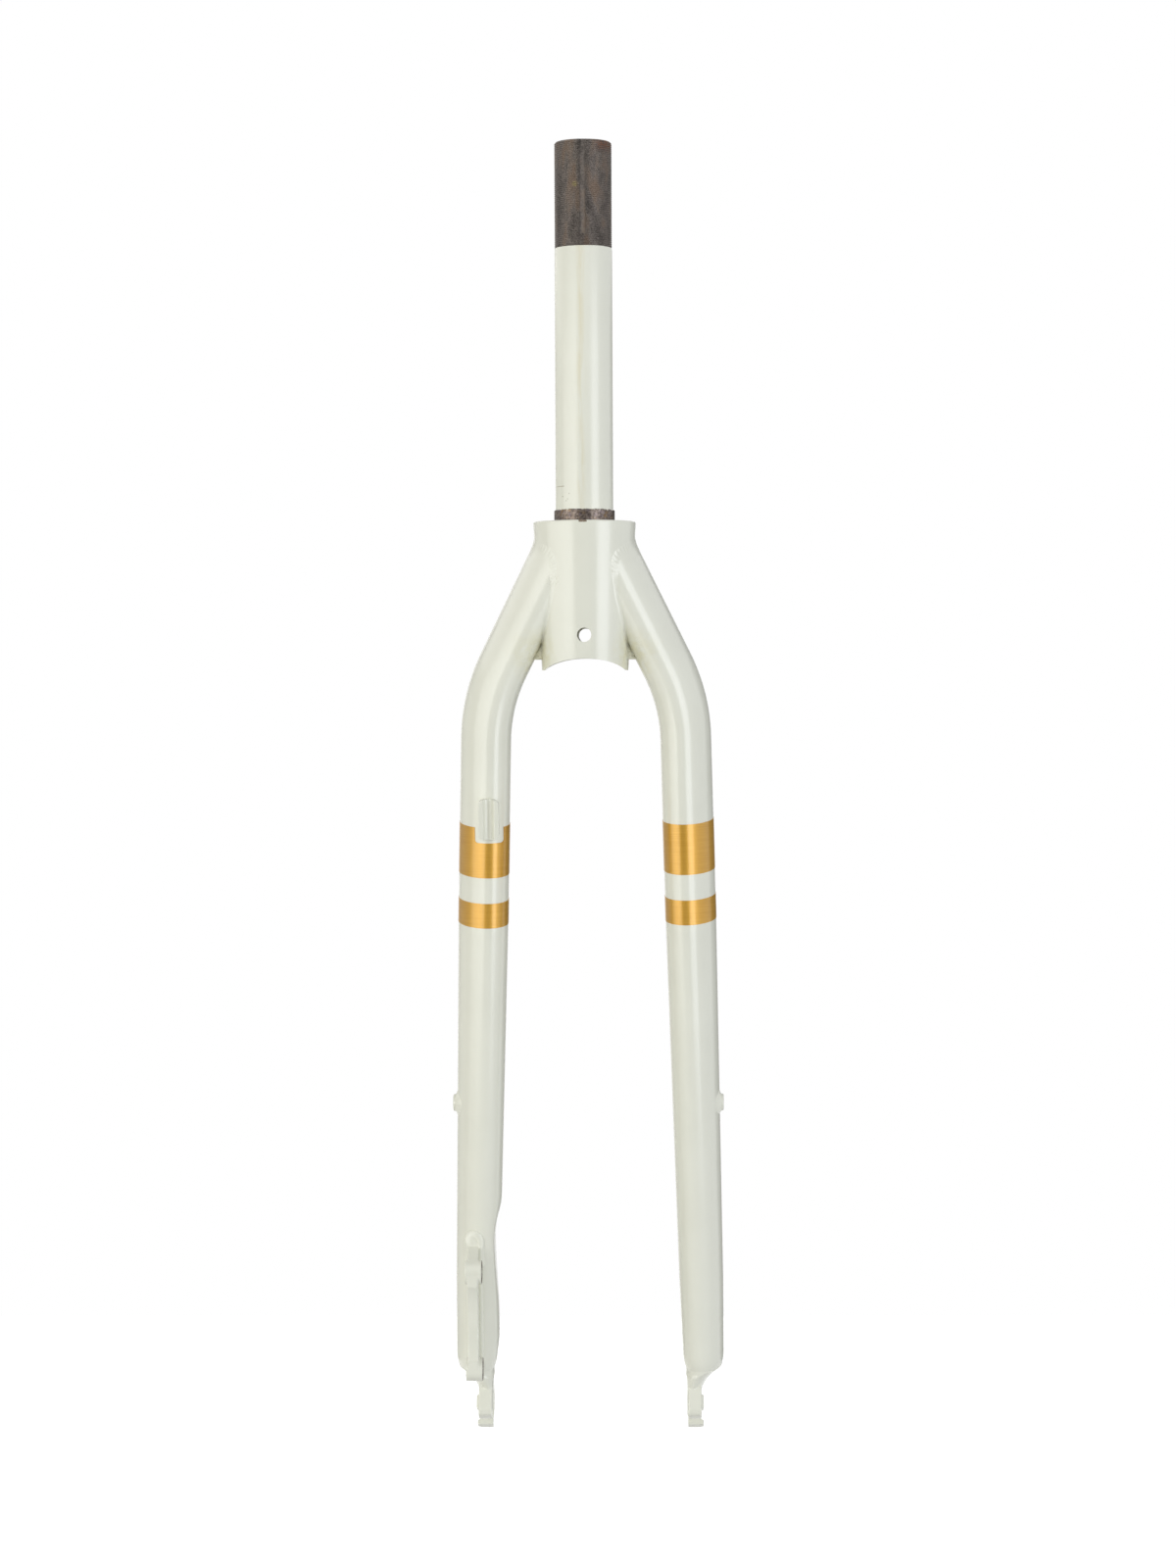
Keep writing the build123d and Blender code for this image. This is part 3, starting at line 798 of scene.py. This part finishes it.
eyeletForm = {"outer": 4.35, "core": mountRadius["right_eyelet"], "height": 2.1, "depth": 4.0,
              "chamfer": 0.5, "lead": 0.4, "pitch": 0.8, "groove": 0.35, "sides": 48}


def eyeletFoot(side, way):  # where the boss's axis comes out of its blade, with z along it
    low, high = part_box(side + "_eyelet_boss")
    middle = (low + high) / 2
    out = max(way * low.x, way * high.x) - eyeletForm["height"] * mm
    turn = Matrix.Rotation(math.radians(90 * way), 4, "Y")
    return Matrix.Translation((way * out, middle.y, middle.z)) @ turn


def makeEyelets():
    form = eyeletForm
    outer, core, edge = form["outer"], form["core"], form["chamfer"]
    height, depth = form["height"], -form["depth"]
    rings = [(core, depth), (outer, depth), (outer, height - edge),
             (outer - 0.3 * edge, height - 0.4 * edge), (outer - edge, height),
             (core + form["lead"], height)]
    height -= form["lead"]
    while height > depth + form["pitch"]:  # the tapped hole's turns
        rings += [(core, height), (core + form["groove"], height - form["pitch"] / 2)]
        height -= form["pitch"]
    piece = turned("right_eyelet_insert", form["sides"], rings)
    foot = eyeletFoot("right", 1)
    placeMesh(piece, foot)
    other = mirrorAcross(piece, "left_eyelet_insert")
    axis = foot.translation.yz / mm
    for boss, side in ((piece, "right"), (other, "left")):
        smooth(boss, 35)
        dress(boss, "cream_enamel", [side + "_eyelet_boss"], creamEnamel, bareSteel)
        paintFaces(boss, 1, lambda at, facing: (at.yz - axis).length < core + 0.95 * form["lead"])


makeEyelets()
print("eyelets done")


# crown welds: a fillet drawn over each joint, with the ripples that the torch left, under the same enamel

crownWeldForm = {
    "pitch": 2.1, "step": 0.35, "rows": 14, "topReach": (9.0, 2.8), "sideReach": (1.5, 1.6), "sideZ": -29.0,
    "topZ": -14.0, "bulge": 0.3, "topBulge": 0.05, "ripple": 0.27, "calmRipple": 0.2, "bow": 0.7,
    "topShift": 0.2, "sunk": 0.06, "thickness": 0.9, "seamAngle": 176, "seamZ": (-68.0, -1.0),
    "fillTop": -40.0, "fillHalf": 6.4, "bladeCalm": 24, "crownCalm": 5, "rippleZ": (-28.0, -23.0),
    "rippleY": (10.5, 14.0),
}
upperRun = bladeFrame(bladeForm["bendDrop"], math.radians(bladeForm["lean"]))  # the blade's leaning top
upperAxis = upperRun.to_3x3() @ Vector((0, 0, 1))
upperHalf = [side / 2 for side in bladeForm["upper"]]


def seamPoint(angle):  # where a line up the right blade's skin meets the crown's cone
    start = Vector((upperHalf[0] * math.cos(angle), upperHalf[1] * math.sin(angle), 0)) * mm
    start = upperRun @ start / mm
    radius, slope = crownRadius(start.z), crownForm["slope"]
    square = upperAxis.x**2 + upperAxis.y**2 - (slope * upperAxis.z)**2
    middle = 2 * (start.x * upperAxis.x + start.y * upperAxis.y - radius * slope * upperAxis.z)
    inside = middle**2 - 4 * square * (start.x**2 + start.y**2 - radius**2)
    if inside < 0:
        return None
    return start - upperAxis * (middle + math.sqrt(inside)) / (2 * square)


def bladeSide(point):  # the nearest place on the blade's upper skin, and which way it faces
    local = upperRun.inverted() @ (point * mm) / mm
    scale = math.hypot(local.x / upperHalf[0], local.y / upperHalf[1])
    local.x, local.y = local.x / scale, local.y / scale
    facing = Vector((local.x / upperHalf[0]**2, local.y / upperHalf[1]**2, 0)).normalized()
    return upperRun @ (local * mm) / mm, upperRun.to_3x3() @ facing


def crownSide(point):  # the same for the crown's cone
    radius = crownRadius(point.z)
    scale = radius / math.hypot(point.x, point.y)
    facing = Vector((point.x * scale, point.y * scale, -crownForm["slope"] * radius)).normalized()
    return Vector((point.x * scale, point.y * scale, point.z)), facing


def evenly(points, step):  # the same line with points at even steps
    lengths = [0.0]
    for start, end in zip(points, points[1:]):
        lengths.append(lengths[-1] + (end - start).length)
    count = round(lengths[-1] / step)
    line, at = [], 0
    for number in range(count + 1):
        due = lengths[-1] * number / count
        while at < len(points) - 2 and lengths[at + 1] < due:
            at += 1
        share = (due - lengths[at]) / (lengths[at + 1] - lengths[at])
        line.append(points[at].lerp(points[at + 1], share))
    return line


def calmed(points, reach):  # the same line drawn round at its corners, each point the mean of those near it
    line = []
    for number in range(len(points)):
        near = min(reach, number, len(points) - 1 - number)
        line.append(sum(points[number - near:number + near + 1], Vector()) / (2 * near + 1))
    return line


def alongAt(line, number):  # the way a line runs at one of its points
    return (line[min(number + 1, len(line) - 1)] - line[max(number - 1, 0)]).normalized()


def weldSections():  # across the joint at each step: foot on the blade, corner, foot on the crown
    form = crownWeldForm
    low, high = form["seamZ"]
    seam = [seamPoint(math.radians(angle)) for angle in range(-form["seamAngle"], form["seamAngle"] + 1)]
    seam = evenly([point for point in seam if point and low < point.z < high], form["step"])
    bladeFeet, crownFeet, corners, outwards = [], [], [], []
    for number, point in enumerate(seam):
        along = alongAt(seam, number)
        onBlade, onCrown = bladeSide(point)[1], crownSide(point)[1]
        downBlade, upCrown = along.cross(onBlade), along.cross(onCrown)
        downBlade *= math.copysign(1, downBlade.dot(onCrown))
        upCrown *= math.copysign(1, upCrown.dot(onBlade))
        share = easedShare(point.z, form["sideZ"], form["topZ"])
        reach = [side + (top - side) * share for side, top in zip(form["sideReach"], form["topReach"])]
        bladeFeet.append(point + downBlade * reach[0])
        crownFeet.append(point + upCrown * reach[1])
        outwards.append((onBlade + onCrown).normalized())
        corners.append(point + outwards[-1] * (form["bulge"] + (form["topBulge"] - form["bulge"]) * share))
    lines = [calmed(bladeFeet, form["bladeCalm"])]
    lines += [calmed(line, form["crownCalm"]) for line in (corners, crownFeet, outwards)]
    sections = []
    for bladeFoot, corner, crownFoot, out in zip(*lines):
        bladeFoot, bladeFacing = bladeSide(bladeFoot)
        crownFoot, crownFacing = crownSide(crownFoot)
        bladeFoot -= bladeFacing * form["sunk"]
        crownFoot -= crownFacing * form["sunk"]
        sections.append((bladeFoot, corner, crownFoot, out))
    return sections


def makeCrownWelds():
    form = crownWeldForm
    sections = weldSections()
    bpy.ops.mesh.primitive_grid_add(x_subdivisions=len(sections) - 1, y_subdivisions=form["rows"], size=1)
    bead = bpy.context.object
    for vert in bead.data.vertices:
        number = round((vert.co.x + 0.5) * (len(sections) - 1))
        across = vert.co.y + 0.5
        bladeFoot, corner, crownFoot, outwards = sections[number]
        rest = 1 - across
        place = bladeFoot * rest**2 + corner * 2 * rest * across + crownFoot * across**2
        # on top the ripples keep to the crown's side
        shift = form["topShift"] * easedShare(corner.z, form["sideZ"], form["topZ"])
        hump = max(0.0, 1 - ((across - 0.5 - shift) / (0.5 - shift))**2)
        beat = number * form["step"] / form["pitch"] + form["bow"] * hump
        ripple = 1 - abs(2 * (beat % 1) - 1)**3
        calm = form["calmRipple"]
        height = form["ripple"] * (calm + (1 - calm) * easedShare(corner.z, *form["rippleZ"]))
        height *= easedShare(abs(corner.y), *form["rippleY"])  # the shoulder itself was ground smooth
        vert.co = (place + outwards * height * hump**2 * ripple) * mm
    editMode(bead)
    closeMesh()
    if bead.data.polygons[0].normal.dot(sections[0][3]) < 0:
        bead.data.flip_normals()
    applyModifier(bead, "SOLIDIFY", {"thickness": form["thickness"] * mm, "offset": -1.0})
    bpy.ops.object.shade_smooth()
    fill = solidCopy("right_crown_weld")  # the weld metal in the sharp corner under the blade
    editMode(fill)
    trim((0, 0, form["fillTop"]), (0, 0, 1))
    for way in (1, -1):
        trim((0, way * form["fillHalf"], 0), (0, way, 0))
    closeMesh()
    smooth(fill, 40)
    piece = joinAll("right_crown_bead", [bead, fill])
    other = mirrorAcross(piece, "left_crown_bead")
    dress(piece, "cream_enamel", ["right_crown_weld"], creamEnamel)
    dress(other, "cream_enamel", ["left_crown_weld"], creamEnamel)


makeCrownWelds()
print("crown welds done")


# small welds: the CAD beads, rippled all along

smallWeldForm = {
    "tab": {"ripple": (1.9, 1.5, 1.1), "pitch": 1.3, "topRise": 1.3, "top": 13.0, "voxel": 0.28,
            "smooth": 12, "lump": (4.4, 1.5, 5.2), "lumpRise": 0.6, "grow": 0.3},
    "eyelet": {"ripple": (0.8, 0.8, 0.4), "pitch": 1.6, "radius": 5.3, "voxel": 0.2, "smooth": 12,
               "sides": 40,
               "root": [(3.9, -4.5), (9.2, -4.5), (6.5, -1.2), (5.4, 0.0), (4.5, 0.9), (3.9, 0.9)]},
    "steerer": {"ripple": (2.0, 1.3, 1.0), "pitch": 2.2, "throat": 1.8, "voxel": 0.25, "smooth": 4},
}
outside = 90.0  # a place clear of the fork, in mm


def rippled(name, node, line, form, facing, root=None):
    bpy.ops.mesh.primitive_uv_sphere_add(segments=14, ring_count=8, radius=mm)
    ripple = bpy.context.object
    placeMesh(ripple, Matrix.Diagonal((*form["ripple"], 1)))  # across the bead, along it, and its height
    pieces = [solidCopy(node)] + ([root] if root else [])
    for number, point in enumerate(line):
        along = alongAt(line, number)
        across = along.cross(facing(point)).normalized()
        turn = Matrix((across, along, across.cross(along))).transposed().to_4x4()
        copy = copyOf(ripple, "ripple")
        placeMesh(copy, Matrix.Translation(point * mm) @ turn)
        pieces.append(copy)
    bpy.data.objects.remove(ripple)
    piece = joinAll(name, pieces)
    soften(piece, form["voxel"], form["smooth"])
    if "grow" in form:  # into its neighbours
        applyModifier(piece, "DISPLACE", {"strength": form["grow"] * mm, "mid_level": 0.0})
    dress(piece, "cream_enamel", [node], creamEnamel)


def ringLine(radius, pitch):  # points round a circle, the last on the first
    count = round(math.tau * radius / pitch)
    angles = [math.tau * number / count for number in range(count + 1)]
    return [(radius * math.cos(angle), radius * math.sin(angle)) for angle in angles]


def onSkin(blade, start, direction):  # a point of the blade's skin, found from outside
    found, place, facing, number = blade.ray_cast(Vector(start) * mm, Vector(direction))
    return place / mm


def makeTabWelds():  # down each side of the tab, the two meeting over its top
    form = smallWeldForm["tab"]
    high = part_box("disc_brake_tab")[1].z / mm
    spans = {}
    for side in ("inner", "outer"):
        low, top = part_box("disc_tab_" + side + "_weld")
        spans[side] = (low.x + top.x) / 2 / mm
    middle = (spans["inner"] + spans["outer"]) / 2
    for side, beside in spans.items():
        reach = beside - middle
        places = []
        for step in range(5):
            angle = math.radians(90 - 18 * step)
            rise = abs(reach) * form["topRise"] * math.sin(angle)
            places.append((middle + reach * math.cos(angle), high + rise))
        height = high
        while height > high - form["top"]:
            places.append((beside, height))
            height -= form["pitch"]
        line = [onSkin(leftBlade, (aside, -outside, up), (0, 1, 0)) for aside, up in places]
        lump = None
        if side == "outer":
            bpy.ops.mesh.primitive_uv_sphere_add(segments=32, ring_count=16, radius=mm)
            lump = bpy.context.object
            place = onSkin(leftBlade, (middle, -outside, high + form["lumpRise"]), (0, 1, 0))
            placeMesh(lump, Matrix.Translation(place * mm) @ Matrix.Diagonal((*form["lump"], 1)))
        rippled("tab_" + side + "_bead", "disc_tab_" + side + "_weld", line, form,
                lambda at: Vector((0, -1, 0)), lump)


def makeEyeletWelds():
    form = smallWeldForm["eyelet"]
    for side, blade, way in (("right", rightBlade, 1), ("left", leftBlade, -1)):
        foot = eyeletFoot(side, way)
        root = turned("eyelet_root", form["sides"], form["root"])  # fills the joint under the boss
        placeMesh(root, foot)
        centre = foot.translation / mm
        line = [onSkin(blade, (way * outside, centre.y + aside, centre.z + up), (-way, 0, 0))
                for aside, up in ringLine(form["radius"], form["pitch"])]
        rippled(side + "_eyelet_bead", side + "_eyelet_weld", line, form,
                lambda at: Vector((way, 0, 0)), root)


def makeSteererWeld():
    form = smallWeldForm["steerer"]
    height = -crownForm["head"] - form["throat"]
    ring = ringLine(steererForm["tube"] + form["throat"], form["pitch"])
    rippled("steerer_bead", "steerer_weld", [Vector((*point, height)) for point in ring], form,
            lambda at: Vector((at.x, at.y, -at.xy.length)))


makeTabWelds()
makeEyeletWelds()
makeSteererWeld()
print("small welds done")


# camera, light and floor

cameraForm = {"focalPixels": 3300.0, "imageHeight": 1600.0, "sensor": 36.0, "azimuth": 1.2, "elevation": 2.0,
              "roll": 0.26, "place": (34.845, -1609.187, -74.013), "clip": 0.05}
lampForm = {  # the glow is the brightness of the cloth, with white at 1
    "left": {"azimuth": -30.0, "shift": -1.45, "width": 3.2, "height": 1.95, "glow": 1.5, "spread": 145.0,
             "tint": "#FFFFFA"},
    "right": {"azimuth": 45.5, "shift": 0.0, "width": 1.1, "height": 1.95, "glow": 1.95, "spread": 130.0,
              "tint": "#F4F8FF"},
    "fill": {"azimuth": -115.0, "shift": 0.0, "width": 2.4, "height": 1.95, "glow": 0.35, "spread": 150.0,
             "tint": "#FFFFFF"},
}
cardForm = {  # grey cards out of the camera's sight, which keep the gaps between softboxes dark
    "front": {"azimuth": 3.0, "width": 2.4, "height": 1.8},
    "left": {"azimuth": -122.0, "width": 2.8, "height": 1.8},
    "right": {"azimuth": 146.0, "width": 1.6, "height": 1.8},
}
studioForm = {"lampDistance": 2.0, "lampZ": 0.0, "cardDistance": 2.4, "cardZ": -0.28, "card": "#585856",
              "floorZ": -1.2, "floorSize": 8.0, "paper": "#CCCCCA", "paperGlow": "#F2F2F2", "air": "#FFFFFF",
              "ambient": 0.45}


def addCamera(form):
    azimuth, elevation, roll = (math.radians(form[key]) for key in ("azimuth", "elevation", "roll"))
    bpy.ops.object.camera_add()
    camera = bpy.context.object
    camera.data.sensor_width = form["sensor"]
    camera.data.lens = form["sensor"] * form["focalPixels"] / form["imageHeight"]
    camera.data.clip_start = form["clip"]
    tilt = Matrix.Rotation(math.pi / 2 - elevation, 4, "X") @ Matrix.Rotation(-roll, 4, "Z")
    place = Matrix.Translation(Vector(form["place"]) * mm)
    camera.matrix_world = place @ Matrix.Rotation(azimuth, 4, "Z") @ tilt
    bpy.context.scene.camera = camera


def facingMiddle(azimuth, distance, height, shift=0.0):  # round the object and facing it, moved to one side
    angle = math.radians(azimuth)
    place = Vector((math.sin(angle), -math.cos(angle), 0)) * distance
    turn = (-place).to_track_quat("-Z", "Y").to_matrix().to_4x4()
    place += Vector((math.cos(angle), math.sin(angle), 0)) * shift
    place.z = height
    return Matrix.Translation(place) @ turn


def addLamps():
    for name, form in lampForm.items():
        bpy.ops.object.light_add(type="AREA")
        lamp = bpy.context.object
        lamp.name = name + "_softbox"
        lamp.matrix_world = facingMiddle(form["azimuth"], studioForm["lampDistance"], studioForm["lampZ"],
                                         form["shift"])
        lamp.data.spread = math.radians(form["spread"])  # a gridded cloth, dimmer towards its edges
        lamp.data.shape = "RECTANGLE"
        lamp.data.size = form["width"]
        lamp.data.size_y = form["height"]
        lamp.data.color = linear(form["tint"])[:3]
        lamp.data.energy = form["glow"] * math.pi * form["width"] * form["height"]


def addCards():
    material = bpy.data.materials.new("matt_grey_card")
    material.use_nodes = True
    shader = material.node_tree.nodes["Principled BSDF"]
    shader.inputs["Base Color"].default_value = linear(studioForm["card"])
    shader.inputs["Roughness"].default_value = 0.9
    for name, form in cardForm.items():
        bpy.ops.mesh.primitive_plane_add(size=1.0)
        card = bpy.context.object
        card.name = name + "_card"
        place = facingMiddle(form["azimuth"], studioForm["cardDistance"], studioForm["cardZ"])
        placeMesh(card, place @ Matrix.Diagonal((form["width"], form["height"], 1, 1)))
        card.data.materials.append(material)
        card.visible_camera = False


def whiteToCamera(tree):  # 1 for what the camera sees directly, mirrored or through glass
    path = addNode(tree, "LightPath").outputs
    seen = addNode(tree, "Math", {"operation": "MAXIMUM"},
                   {0: path["Is Camera Ray"], 1: path["Is Glossy Ray"]})
    return addNode(tree, "Math", {"operation": "MAXIMUM"}, {0: seen, 1: path["Is Transmission Ray"]})


def lightRoom():
    world = bpy.data.worlds.new("white_studio")
    world.use_nodes = True
    bpy.context.scene.world = world
    tree = world.node_tree
    strength = addNode(tree, "MapRange", {"To Min": studioForm["ambient"], "To Max": 1.0},
                       {0: whiteToCamera(tree)})
    background = tree.nodes["Background"]
    background.inputs["Color"].default_value = linear(studioForm["air"])
    tree.links.new(strength.outputs[0], background.inputs["Strength"])


def layFloor():
    bpy.ops.mesh.primitive_plane_add(size=studioForm["floorSize"], location=(0, 0, studioForm["floorZ"]))
    floor = bpy.context.object
    floor.name = "studio_floor"
    bpy.ops.object.transform_apply(location=True)
    material = bpy.data.materials.new("white_paper_sweep")
    material.use_nodes = True
    tree = material.node_tree
    tree.nodes.remove(tree.nodes["Principled BSDF"])
    paper = addNode(tree, "BsdfDiffuse", {"Color": linear(studioForm["paper"])})
    glow = addNode(tree, "Emission", {"Color": linear(studioForm["paperGlow"])},
                   {"Strength": whiteToCamera(tree)})
    both = addNode(tree, "AddShader", None, {0: paper, 1: glow})
    tree.links.new(both.outputs[0], tree.nodes["Material Output"].inputs["Surface"])
    floor.data.materials.append(material)


addCamera(cameraForm)
addLamps()
addCards()
lightRoom()
layFloor()
bpy.context.scene.view_settings.view_transform = "Standard"
print("camera, light and floor ready")
